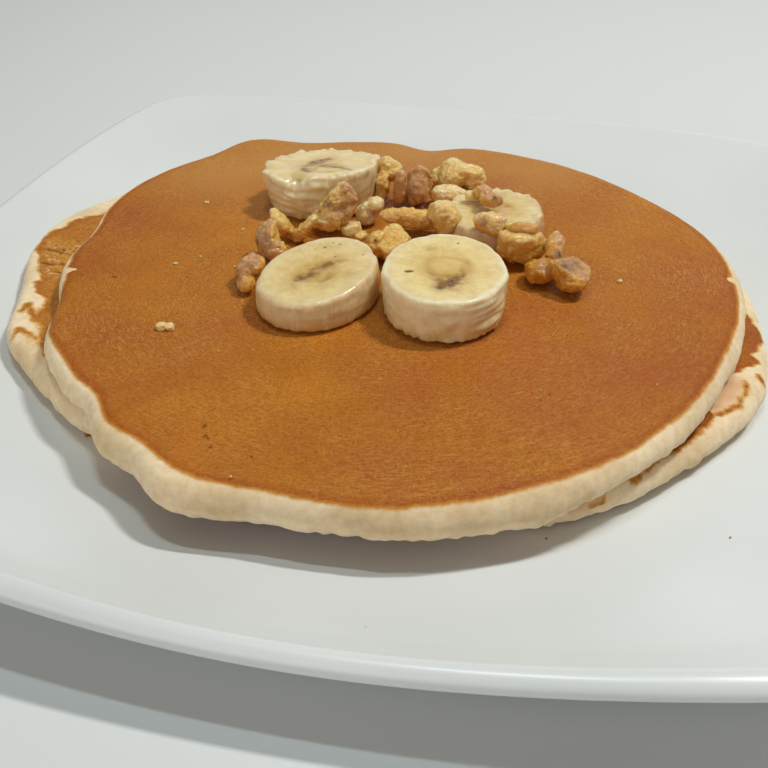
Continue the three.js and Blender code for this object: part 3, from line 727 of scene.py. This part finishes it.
def makeSlice(name, data):
    r, h, seed = data["radius"], data["thick"], data["seed"]
    bottom = [(u, 0.0) for u in np.linspace(0, r - 3.2, 6)]
    wall = curveThrough([(r - 2.4, 0.0), (r - 1.2, 0.25), (r - 0.35, 1.0), (r, h * 0.35), (r, h * 0.7),
                         (r - 0.2, h - 0.9), (r - 0.8, h - 0.15), (r - 1.8, h)], 44)
    face = [(u, h - 0.3 * (1 - u / (r - 2.0))) for u in np.linspace(r - 2.1, 0, 44)]
    profile = np.array(bottom + [tuple(p) for p in wall] + face)
    angle = np.linspace(0, 2 * math.pi, cut["steps"], endpoint=False)
    c, s = np.cos(angle), np.sin(angle)
    u, z = profile[:, 0][:, None], profile[:, 1][:, None]
    up = z / h
    turn = math.radians(data["turn"])
    grow = (1 + data["sides"] * np.cos(3 * (angle - turn))) * (1 + data["oval"] * np.cos(2 * (angle - turn)))
    grow = grow * (1 + data["flare"] * (up - 0.5))
    x, y = u * grow * c, u * grow * s
    slope = (data["slope"][0] * x + data["slope"][1] * y) * up
    points = np.stack([x, y, z + slope], -1)
    around = np.stack([c * r, s * r, 0 * angle], -1)
    # the peeled side keeps soft ridges up and down, with folds across them where it was squeezed
    size, height = cut["squeeze"]
    squeezed = noiseAt(points * cut["squash"], size, seed + 2)
    folds = spots(x, y, [(*crease, 1) for crease in data["creases"]])
    folded = folds * (cut["fold"][0] * squeezed - cut["fold"][1]) * smooth(up, 0.0, 0.2)
    out = smooth(u, r - 4, r - 0.5) * (relief(around, cut["ridges"], seed) + height * squeezed + folded)
    # the knife tore the rim a little, and the foot is ragged
    comes = 0.5 + 1.1 * np.abs(noiseAt(around, 7, seed + 8))
    tear = data["torn"] * (noiseAt(around, 1.6, seed + 3) * comes + 0.5 * noiseAt(around, 4.5, seed + 9))
    atRim = smooth(up, 0.75, 0.98) * smooth(u, r - 4.5, r - 0.8)
    foot = smooth(u, r - 3.5, r - 0.8) * (1 - smooth(up, 0.03, 0.22))
    nicks = [(near(np.degrees(angle), at, wide), inward, down) for at, wide, inward, down in data["nicks"]]
    nickIn = sum(inward * here for here, inward, down in nicks)
    nickDown = sum(down * here for here, inward, down in nicks)
    out = out - nickIn * smooth(u, r - 6, r - 0.5) * smooth(up, 0.5, 1.0)
    out = out + atRim * tear + foot * data["rags"] * 0.6 * noiseAt(around, 1.5, seed + 4)
    points[..., 0] += out * c
    points[..., 1] += out * s
    points[..., 2] += 0.5 * atRim * tear - nickDown * smooth(u, r - 6.5, r - 1) * smooth(up, 0.35, 1.0)
    # fibres on the cut face run outwards from the core, and the core stands a little lower
    lx, ly, lr = data["lens"]
    fromLens = np.hypot(points[..., 0] - lx, (points[..., 1] - ly) * 1.25)
    onFace = smooth(up, 0.93, 0.995)
    fine = cut["fibre"][0]
    fibres = noiseAt(np.stack([c * fine, s * fine, 0 * angle], -1), 1.0, seed + 5)
    dipWide, dipDeep = cut["ringDip"]
    points[..., 2] += onFace * (
        cut["fibre"][1] * fibres * smooth(fromLens, lr, lr + 2)
        - dipDeep * np.exp(-((fromLens - lr) / dipWide) ** 2)
        + cut["face"][1] * noiseAt(points, cut["face"][0], seed + 6))
    marks = np.zeros(x.shape)
    for x0, y0, x1, y1, wide, deep in data["marks"]:
        # each has a dark line and a soft halo, and thins out to its ends
        off, t = fromLine(points[..., 0], points[..., 1], x0, y0, x1, y1)
        off = off / (cut["markWidth"] * wide * (0.6 + 0.4 * np.sin(np.pi * t)))
        marks = 1 - (1 - marks) * (1 - deep * (0.4 * np.exp(-(off / cut["halo"]) ** 2) + 0.5 * np.exp(-off ** 2)))
    marks = marks * onFace * np.clip(0.95 + relief(points, cut["blotch"], seed), 0.3, 1.4)
    dots = sum(deep * np.exp(-((points[..., 0] - px) ** 2 + ((points[..., 1] - py) * 1.3) ** 2) / pr ** 2)
               for px, py, pr, deep in data["dots"]) * onFace
    points[..., 2] -= cut["markDepth"] * marks + cut["dotDepth"] * dots
    points += np.array([*data["at"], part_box(name)[0].z / mm - cut["sink"]])
    obj = gridMesh(name + "_slice", points)
    paintGrid(obj, up=up + 0 * angle, outward=u / r + 0 * angle, seeds=np.clip(marks, 0, 1), bruise=np.clip(dots, 0, 1),
              core=np.exp(-((fromLens - lr) / 1.3) ** 2) * onFace, ripe=data["ripe"] + 0 * x)
    return obj


# Ripe banana flesh cut with a knife: moist and a little see-through, yellow inside, with a paler
# rim, brownish round the seeds, and whitish strings down the peeled side.
flesh, tree = blankMaterial("cut banana flesh")
place = objectPlace(tree)
up, outward, seeds, bruise, core, ripe = painted(tree, "up", "outward", "seeds", "bruise", "core", "ripe")
freshFace = ramp(outward, (0.12, "#eecd84"), (0.4, "#f6dd98"), (0.75, "#fbe7a8"), (0.92, "#f3e2b2"))
ripeFace = ramp(outward, (0.12, "#dab875"), (0.45, "#e0c487"), (0.8, "#e5cf99"), (0.94, "#dfca9f"))
# painted shade and light: the side is painted darker and oranger towards its foot, for the shade where it meets the
# pancake and the light the crust throws up
sideShadedTowardsFoot = ramp(up, (0.0, "#e2c07e"), (0.3, "#f1dba8"), (0.7, "#f8e9bf"), (0.95, "#f9edc8"))
side = blend(remap(ripe, 0.5, 1), sideShadedTowardsFoot, "#d9b98c", "MULTIPLY")
onFace = ramp(outward, (0.88, 1), (0.98, 0))
base = blend(onFace, side, blend(ripe, freshFace, ripeFace))
# cells of about 3 mm, and strings about 2 mm apart that run up the side
mottle = ramp(grain(place, 300, 4, 0.6), (0.3, "#e8dac0"), (0.6, "#ffffff"))
mottled = blend(0.7, base, mottle, "MULTIPLY")
drawn = addNode(tree, "ShaderNodeMapping", {"Vector": place, "Scale": (1, 1, 0.16)}).outputs["Vector"]
strings = grain(drawn, 520, 4, 0.65)
onSide = maths("SUBTRACT", 1, onFace)
stringShow = maths("MULTIPLY", ramp(strings, (0.52, 0), (0.72, 1)), onSide)
pithy = blend(maths("MULTIPLY", stringShow, 0.4), mottled, "#f6ecd6")
cored = blend(maths("MULTIPLY", core, 0.5), pithy, "#c9a050")
seedColour = ramp(seeds, (0.0, "#c9a257"), (0.45, "#a57c3e"), (0.95, "#6c4a22"))
seeded = blend(ramp(seeds, (0.03, 0), (0.65, 0.95)), cored, seedColour)
bruised = blend(ramp(bruise, (0.2, 0), (0.75, 1)), seeded, "#8a5a2a")
relieved = maths("ADD", grain(place, 1100, 3), strings)
shadeWith(tree, {
    "Base Color": bruised, "Roughness": 0.32, "IOR": 1.4, "Specular IOR Level": 0.45,
    "Subsurface Weight": 0.6, "Subsurface Radius": (1.0, 0.74, 0.4), "Subsurface Scale": 0.0026,
    "Coat Weight": 0.3, "Coat Roughness": 0.12, "Normal": bumps(relieved, 0.4, 0.0003),
})
for name, data in slices.items():
    finishPiece(makeSlice(name, data), flesh, name)
print("banana slices")


# Walnut kernels, shelled and chopped: oily cream to amber flesh that broke in facets, with a thin
# pinkish brown skin left on the outer side, darker in its folds. The oil gives small sharp glints.
kernel, tree = blankMaterial("chopped walnut kernel")
place = objectPlace(tree)
skin, tone, dark = painted(tree, "skin", "tone", "dark")
# grain of 1.5 mm in the flesh, veins of 2.4 mm in the skin and pores of 0.4 mm
shade = maths("ADD", tone, maths("MULTIPLY_ADD", grain(place, 650, 4, 0.65), 0.6, -0.3))
nutColour = ramp(shade, (0.05, "#cf8d2b"), (0.35, "#e0a94a"), (0.7, "#ecc471"), (0.98, "#f3d9a2"))
veins = grain(place, 420, 5, 0.7, 1.2)
skinColour = ramp(veins, (0.3, "#9a6a40"), (0.45, "#bf8b58"), (0.6, "#d3a270"), (0.75, "#e0b78a"))
skinned = blend(ramp(skin, (0.42, 0), (0.62, 0.85)), nutColour, skinColour)
pores = ramp(cells(place, 850), (0.1, 1), (0.22, 0))
pitted = blend(maths("MULTIPLY", pores, 0.3), skinned, "#8a5a2c")
fineGrain = grain(place, 1100, 4, 0.65)
shadeWith(tree, {
    "Base Color": blend(ramp(dark, (0.12, 0), (0.85, 0.9)), pitted, "#5a3b2a"),
    "Roughness": 0.22, "IOR": 1.47,
    "Subsurface Weight": 0.8, "Subsurface Radius": (1.0, 0.68, 0.3), "Subsurface Scale": 0.0032,
    "Coat Weight": 0.35, "Coat Roughness": 0.08, "Normal": bumps(fineGrain, 0.9, 0.0006),
})

# tone is how pale the flesh is, skinSide the way the skin faces and skinEdge how little of it is left;
# dark are brown patches: place, radius and depth of colour
nuts = {
    "walnut_01": {"tone": 0.7, "skinSide": (0.7, -0.2, 0.6), "skinEdge": 0.62, "dark": [(-22.1, 10, 33.2, 1.5, 1),
        (-24, 10.6, 30.4, 1.1, 0.9)]},
    "walnut_02": {"tone": 0.6, "skinSide": (-0.8, -0.3, 0.5), "skinEdge": 0.2, "dark": [(-35.4, -7.8, 28.5, 2.2, 0.6),
        (-32.5, -8.8, 30.8, 1.6, 0.45)]},
    "walnut_03": {"tone": 0.15, "skinSide": (-0.8, 0.3, 0.6), "skinEdge": 0.15, "dark": [(-33, -21, 28.4, 4.2, 0.5)]},
    "walnut_04": {"tone": 0.55, "skinSide": (0, 0, -1), "skinEdge": 0.5},
    "walnut_05": {"tone": 0.3, "skinSide": (-0.1, -0.7, 0.7), "skinEdge": -0.1,
        "dark": [(-2.9, 30.2, 29.5, 1.4, 0.5)]},
    "walnut_06": {"tone": 0.64, "skinSide": (-0.5, 0, 1), "skinEdge": 0.85},
    "walnut_07": {"tone": 0.74, "skinSide": (-1, 0, 0.3), "skinEdge": 0.95},
    "walnut_08": {"tone": 0.42, "skinSide": (0.7, -0.4, 0.4), "skinEdge": 0.1, "dark": [(21.6, 19.4, 35.3, 0.9, 0.9),
        (23.5, 20.2, 33.7, 2, 0.55)]},
    "walnut_09": {"tone": 0.58, "skinSide": (-0.5, -0.5, -0.7), "skinEdge": 0.75},
    "walnut_10": {"tone": 0.48, "skinSide": (-1, 0, 0.3), "skinEdge": 0.85, "dark": [(-5.6, -2.7, 30.6, 0.6, 0.9),
        (-4.9, -0.4, 31.8, 0.5, 0.8)]},
    # walnut_11 lies in the heap's shade; its tone above 1 is partly painted light
    "walnut_11": {"tone": 1.1, "skinSide": (0, -0.6, -0.6), "skinEdge": 0.8},
    "walnut_12": {"tone": 0.45, "skinSide": (0.6, 0.8, 0.4), "skinEdge": 0.6, "dark": [(29, 4, 33.2, 0.6, 1),
        (33, 5, 33.2, 0.6, 0.9)]},
    "walnut_13": {"tone": 0.62, "skinSide": (0.1, -0.7, 0.8), "skinEdge": 0.75},
    "walnut_14": {"tone": 0.2, "skinSide": (0.7, -0.2, 0.9), "skinEdge": 0.7, "dark": [(43.1, -5.5, 31.3, 3.6, 0.75),
        (41, -0.1, 30.3, 1.6, 0.9), (44.9, -3.5, 30.9, 2.4, 0.6), (39, -3, 30, 9, 0.24)]},
    "walnut_15": {"tone": 0.85, "skinSide": (0, 0, -1), "skinEdge": 0.7},
}
# how a kernel breaks: volume of a facet's cell, how far facets tilt, sink at their joints and stray, then
# size and height of lumps, knobs and grit, in mm, and what fits the piece to its solid again
broken = {
    "voxel": 0.26, "easing": 5, "cell": 60, "fewest": 6, "tilt": 0.13, "groove": 0.1, "stray": (2.2, 0.5),
    "lump": (3.4, 0.3), "knob": (1.5, 0.3), "grit": (0.7, 0.2), "swell": 0.08, "skinGrit": 0.08, "sink": 0.25,
}


def makeNut(node, seed, data):
    work = bmesh.new()
    work.from_mesh(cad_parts[node].data)
    work.transform(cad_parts[node].matrix_world)
    bmesh.ops.remove_doubles(work, verts=work.verts, dist=1e-6)
    obj = addWork(node + "_piece", work)
    remesh = obj.modifiers.new("remesh", "REMESH")
    remesh.mode = "VOXEL"
    remesh.voxel_size = broken["voxel"] * mm
    ease = obj.modifiers.new("ease", "SMOOTH")
    ease.factor = 0.5
    ease.iterations = broken["easing"]
    done = applyModifiers(obj)
    co, no = places(done) / mm, places(done, "normal")
    count = len(co)
    low, high = co.min(0), co.max(0)
    # the piece broke in facets: each belongs to a seed point inside it, with a tilt of its own
    random = np.random.default_rng(seed)
    middles = random.uniform(low, high, (max(broken["fewest"], int(np.prod(high - low) / broken["cell"])), 3))
    tilt = random.normal(size=middles.shape)
    tilt /= np.linalg.norm(tilt, axis=1)[:, None]
    shades = random.uniform(-1, 1, len(middles))
    size, height = broken["stray"]
    wavy = co + height * np.stack([noiseAt(co, size, seed + k) for k in (11, 12, 13)], -1)
    away = np.linalg.norm(wavy[:, None] - middles[None], axis=2)
    order = np.argsort(away, axis=1)
    first, second = order[:, 0], order[:, 1]
    rows = np.arange(count)
    gap = away[rows, second] - away[rows, first]
    lean = np.einsum("ij,ij->i", co - middles[first], tilt[first])
    facet = broken["tilt"] * lean * smooth(gap, 0.0, 0.7) - broken["groove"] * (1 - smooth(gap, 0.0, 0.55))
    lumps, knobs, grit = [noiseAt(co, broken[key][0], seed + k) for k, key in enumerate(("lump", "knob", "grit"))]
    out = facet + broken["lump"][1] * lumps + broken["knob"][1] * knobs + broken["grit"][1] * grit + broken["swell"]
    # the papery skin is on one side and lies smoother
    way = np.array(data["skinSide"], dtype=float)
    way /= np.linalg.norm(way)
    skin = 0.5 + 0.35 * (no @ way - data["skinEdge"]) / 0.5 + 0.3 * noiseAt(co, 2.6, seed + 3) + 0.15 * knobs
    out = out - broken["skinGrit"] * grit * (skin > 0.5)
    co = co + no * out[:, None]
    co[:, 2] -= broken["sink"]
    done.vertices.foreach_set("co", (co * mm).reshape(-1))
    done.update()
    done.shade_smooth()
    dark = np.zeros(count)
    for *at, r, deep in data.get("dark", []):
        dark = np.maximum(dark, deep * np.exp(-((co - np.array(at)) ** 2).sum(1) / r ** 2))
    # painted light: the ends of the piece are painted paler, as a glow of light shining through them
    share = (co - low) / (high - low)
    glowAtEnds = 0.14 * smooth(np.linalg.norm(2 * share - 1, axis=1), 0.7, 1.2)
    tone = data["tone"] + 0.08 * shades[first] + 0.14 * noiseAt(co, 2.4, seed + 5) + glowAtEnds
    # painted light and shade: the top is painted paler and the underside darker, and knobs and grit paler than the
    # hollows between them
    tone = tone + 0.3 * share[:, 2] - 0.2 + 0.1 * knobs + 0.1 * grit
    dark = dark * (0.8 + 0.6 * noiseAt(co, 1.1, seed + 6))
    paint(obj, skin=np.clip(skin, 0, 1), dark=np.clip(dark, 0, 1), tone=np.clip(tone, 0, 1))
    return obj


for i, (node, data) in enumerate(nuts.items()):
    finishPiece(makeNut(node, 30 + 7 * i, data), kernel, node)
print("walnut pieces")


# small things that fell off: place, size along, across and up, turn, then tone and skin on kernel, or on cake how
# bare and how brown; a last value is how high above the ground it lies
bits = {
    "roundings": 3, "power": 0.62, "lumpSize": 2.2, "lumpHeight": 0.35, "seat": 0.42,
    "walnut": [(-15.9, 12.2, 5.2, 4.4, 3.4, 20, 0.85, 0.3), (-12.3, 9.6, 3.3, 2.6, 2.2, 70, 0.7, 0.35),
        (18.2, 21.4, 3.6, 1.6, 1.6, 60, 0.95, 0), (14.2, 25.4, 3, 1.4, 1.3, 80, 0.95, 0),
        (21.5, 18.6, 2.2, 1.5, 1.2, 30, 0.9, 0), (-61.3, 22.2, 1.3, 0.9, 0.6, 10, 0.9, 0),
        (-45.3, 7.9, 1, 0.8, 0.5, 50, 0.9, 0), (-55.9, -14.1, 1.1, 0.7, 0.5, 30, 0.95, 0),
        (-50.9, -9.2, 0.8, 0.6, 0.4, 0, 0.9, 0), (-12.9, -91.4, 0.5, 0.4, 0.3, 0, 0.8, 0),
        (56.4, 2.5, 1.4, 1, 0.7, 40, 0.95, 0), (-40, -12.6, 1.2, 0.8, 0.6, 15, 0.5, 0.2),
        (30, 20, 1, 0.8, 0.6, 70, 0.6, 0.2), (1.2, 8.4, 2.4, 1.8, 1.4, 25, 0.4, 0.6),
        (31, 6.4, 8, 2.6, 3.2, 6, 0.3, 0.5, 8.2), (27.4, 8, 2.8, 2, 2.2, 40, 0.7, 0.2, 8.4),
        (14.8, 24.2, 4.2, 2.4, 2.6, 15, 0.85, 0.2, 8)],
    "cake": [(-47.1, -44.3, 2.3, 2.2, 1.7, 8, 1, -3), (-45.1, -43.9, 2.1, 2.3, 1.5, 20, 0.9, -3)],
    # browned flakes that came off underneath and lie on the plate
    "flakes": [(-28.8, -87, 2.6, 1.2, 0.7, 15, 0, 3), (-15.2, -86.5, 2.2, 1, 0.6, 160, 0, 3),
        (47.6, -77.8, 0.5, 0.4, 0.25, 30, 0, 3), (83.1, -71.4, 0.5, 0.4, 0.25, 70, 0, 3),
        (-57, -66.8, 2.8, 1.4, 1.2, 30, 0, 3), (-50.2, -72.4, 2.4, 1.6, 1.4, -40, 0, 3)],
}


def scrap(work, x, y, size, turn, base, seed):
    # a lumpy little chunk sitting on height base
    spin = math.radians(turn)
    shift = Vector((seed * 7.1, seed * 3.3, seed))
    for vert in bmesh.ops.create_icosphere(work, subdivisions=bits["roundings"], radius=0.5)["verts"]:
        p = vert.co
        blocky = Vector([math.copysign(abs(v * 2) ** bits["power"], v) / 2 for v in p])
        p = blocky * (1 + bits["lumpHeight"] * noise.noise(p * bits["lumpSize"] + shift))
        px, py, pz = p.x * size[0], p.y * size[1], p.z * size[2]
        vert.co = Vector((x + px * math.cos(spin) - py * math.sin(spin), y + px * math.sin(spin) + py * math.cos(spin),
                          base + size[2] * bits["seat"] + pz)) * mm


def makeScraps(name, list_, ground):
    work = bmesh.new()
    for k, (x, y, along, across, up, turn, _, _, *lift) in enumerate(list_):
        base = float(ground(np.array(x), np.array(y))) + sum(lift)
        scrap(work, x, y, (along, across, up), turn, base, k + 1)
    each = len(work.verts) // len(list_)
    tone, skin = [np.repeat([row[k] for row in list_], each) for k in (6, 7)]
    obj = addWork(name, work)
    # the kernel reads tone, skin and dark, the pancake's crust the rest
    none = dict.fromkeys(("dark", "pits", "dusk", "tan", "crack"), np.zeros(len(tone)))
    paint(obj, tone=tone, skin=skin, torn=tone, brown=skin, **none)
    return obj


# walnut dust, thickest close to the heap: number and size of the grains, how far out and in what steps it is
# laid, how soon it thins out and how much lies everywhere
dusting = {
    "Density": 230, "Smallest": 0.25, "Largest": 0.6, "Seed": 5,
    "reach": 70, "lines": 71, "thins": 15, "everywhere": 0.012,
}


def dustPatch():
    # a coarse patch of the browned face carries how thickly the dust lies; it is only scaffolding
    heaps = [sum(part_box(node), Vector()) / 2 / mm for node in [*nuts, *slices]]
    covers = [(*data["at"], data["radius"]) for data in slices.values()]
    lattice = np.linspace(-dusting["reach"], dusting["reach"], dusting["lines"])
    verts, values = [], []
    for py in lattice:
        for px in lattice:
            verts.append((px * mm, py * mm, float(topSurface(np.array(px), np.array(py))) * mm))
            nearest = min(math.hypot(px - h.x, py - h.y) for h in heaps)
            under = any(math.hypot(px - cx, py - cy) < r for cx, cy, r in covers)
            thick = math.exp(-(nearest / dusting["thins"]) ** 2) + dusting["everywhere"]
            values.append(0.0 if under else thick)
    n = dusting["lines"]
    faces = [(k, k + 1, k + n + 1, k + n) for j in range(n - 1) for k in range(j * n, (j + 1) * n - 1)]
    mesh = bpy.data.meshes.new("dustPatch")
    mesh.from_pydata(verts, [], faces)
    patch = addObject("walnutDust", mesh)
    paint(patch, dust=values)
    # grains for each square metre where the dust lies thickest
    return patch, dusting["Density"] / (sum(values) * ((lattice[1] - lattice[0]) * mm) ** 2)


def crumbScatter(patch, density):
    tree = bpy.data.node_groups.new("walnutDust", "GeometryNodeTree")
    tree.is_modifier = True
    tree.interface.new_socket("Geometry", in_out="INPUT", socket_type="NodeSocketGeometry")
    scatter = patch.modifiers.new("scatter", "NODES")
    sockets = {}
    for key in ("Density", "Smallest", "Largest", "Seed"):
        kind = "NodeSocketInt" if key == "Seed" else "NodeSocketFloat"
        sockets[key] = tree.interface.new_socket(key, in_out="INPUT", socket_type=kind)
        sockets[key].default_value = dusting[key]
    tree.interface.new_socket("Geometry", in_out="OUTPUT", socket_type="NodeSocketGeometry")
    given = addNode(tree, "NodeGroupInput").outputs
    where = addNode(tree, "GeometryNodeInputNamedAttribute", {"Name": "dust"}, data_type="FLOAT").outputs["Attribute"]
    spread = addNode(tree, "GeometryNodeDistributePointsOnFaces", {
        "Mesh": given["Geometry"], "Density": maths("MULTIPLY", where, given["Density"]), "Seed": given["Seed"],
    }, distribute_method="RANDOM")
    ball = addNode(tree, "GeometryNodeMeshIcoSphere", {"Radius": 0.5 * mm, "Subdivisions": 1})
    anyTurn = {"Seed": given["Seed"], "Max": (6.283, 6.283, 6.283)}
    turn = addNode(tree, "FunctionNodeRandomValue", anyTurn, data_type="FLOAT_VECTOR")
    anySize = {"Min": given["Smallest"], "Max": given["Largest"], "Seed": given["Seed"]}
    size = addNode(tree, "FunctionNodeRandomValue", anySize, data_type="FLOAT").outputs["Value"]
    squash = addNode(tree, "ShaderNodeVectorMath", {0: (1.5, 0.9, 0.8), "Scale": size}, operation="SCALE")
    placed = addNode(tree, "GeometryNodeInstanceOnPoints", {
        "Points": spread.outputs["Points"], "Instance": ball.outputs["Mesh"], "Rotation": turn.outputs["Value"],
        "Scale": squash.outputs["Vector"]})
    real = addNode(tree, "GeometryNodeRealizeInstances", {"Geometry": placed.outputs["Instances"]})
    dressed = addNode(tree, "GeometryNodeSetMaterial", {"Geometry": real.outputs["Geometry"], "Material": kernel})
    addNode(tree, "NodeGroupOutput", {"Geometry": dressed.outputs["Geometry"]})
    scatter.node_group = tree
    for key, value in dict(dusting, Density=density).items():
        if key in sockets:
            scatter[sockets[key].identifier] = value
    grains = places(applyModifiers(patch)) / mm
    paint(patch, tone=np.clip(0.6 + 0.5 * noiseAt(grains, 4, 3), 0, 1),
          skin=np.clip(0.3 + 0.5 * noiseAt(grains, 5, 4), 0, 1), dark=np.zeros(len(grains)))
    return patch


finishPiece(crumbScatter(*dustPatch()), kernel)
finishPiece(makeScraps("walnutScraps", bits["walnut"], topSurface), kernel)
finishPiece(makeScraps("cakeCrumbs", bits["cake"], topSurface), crust)
finishPiece(makeScraps("crustFlakes", bits["flakes"], plateTop), crust)
print("crumbs and scraps")
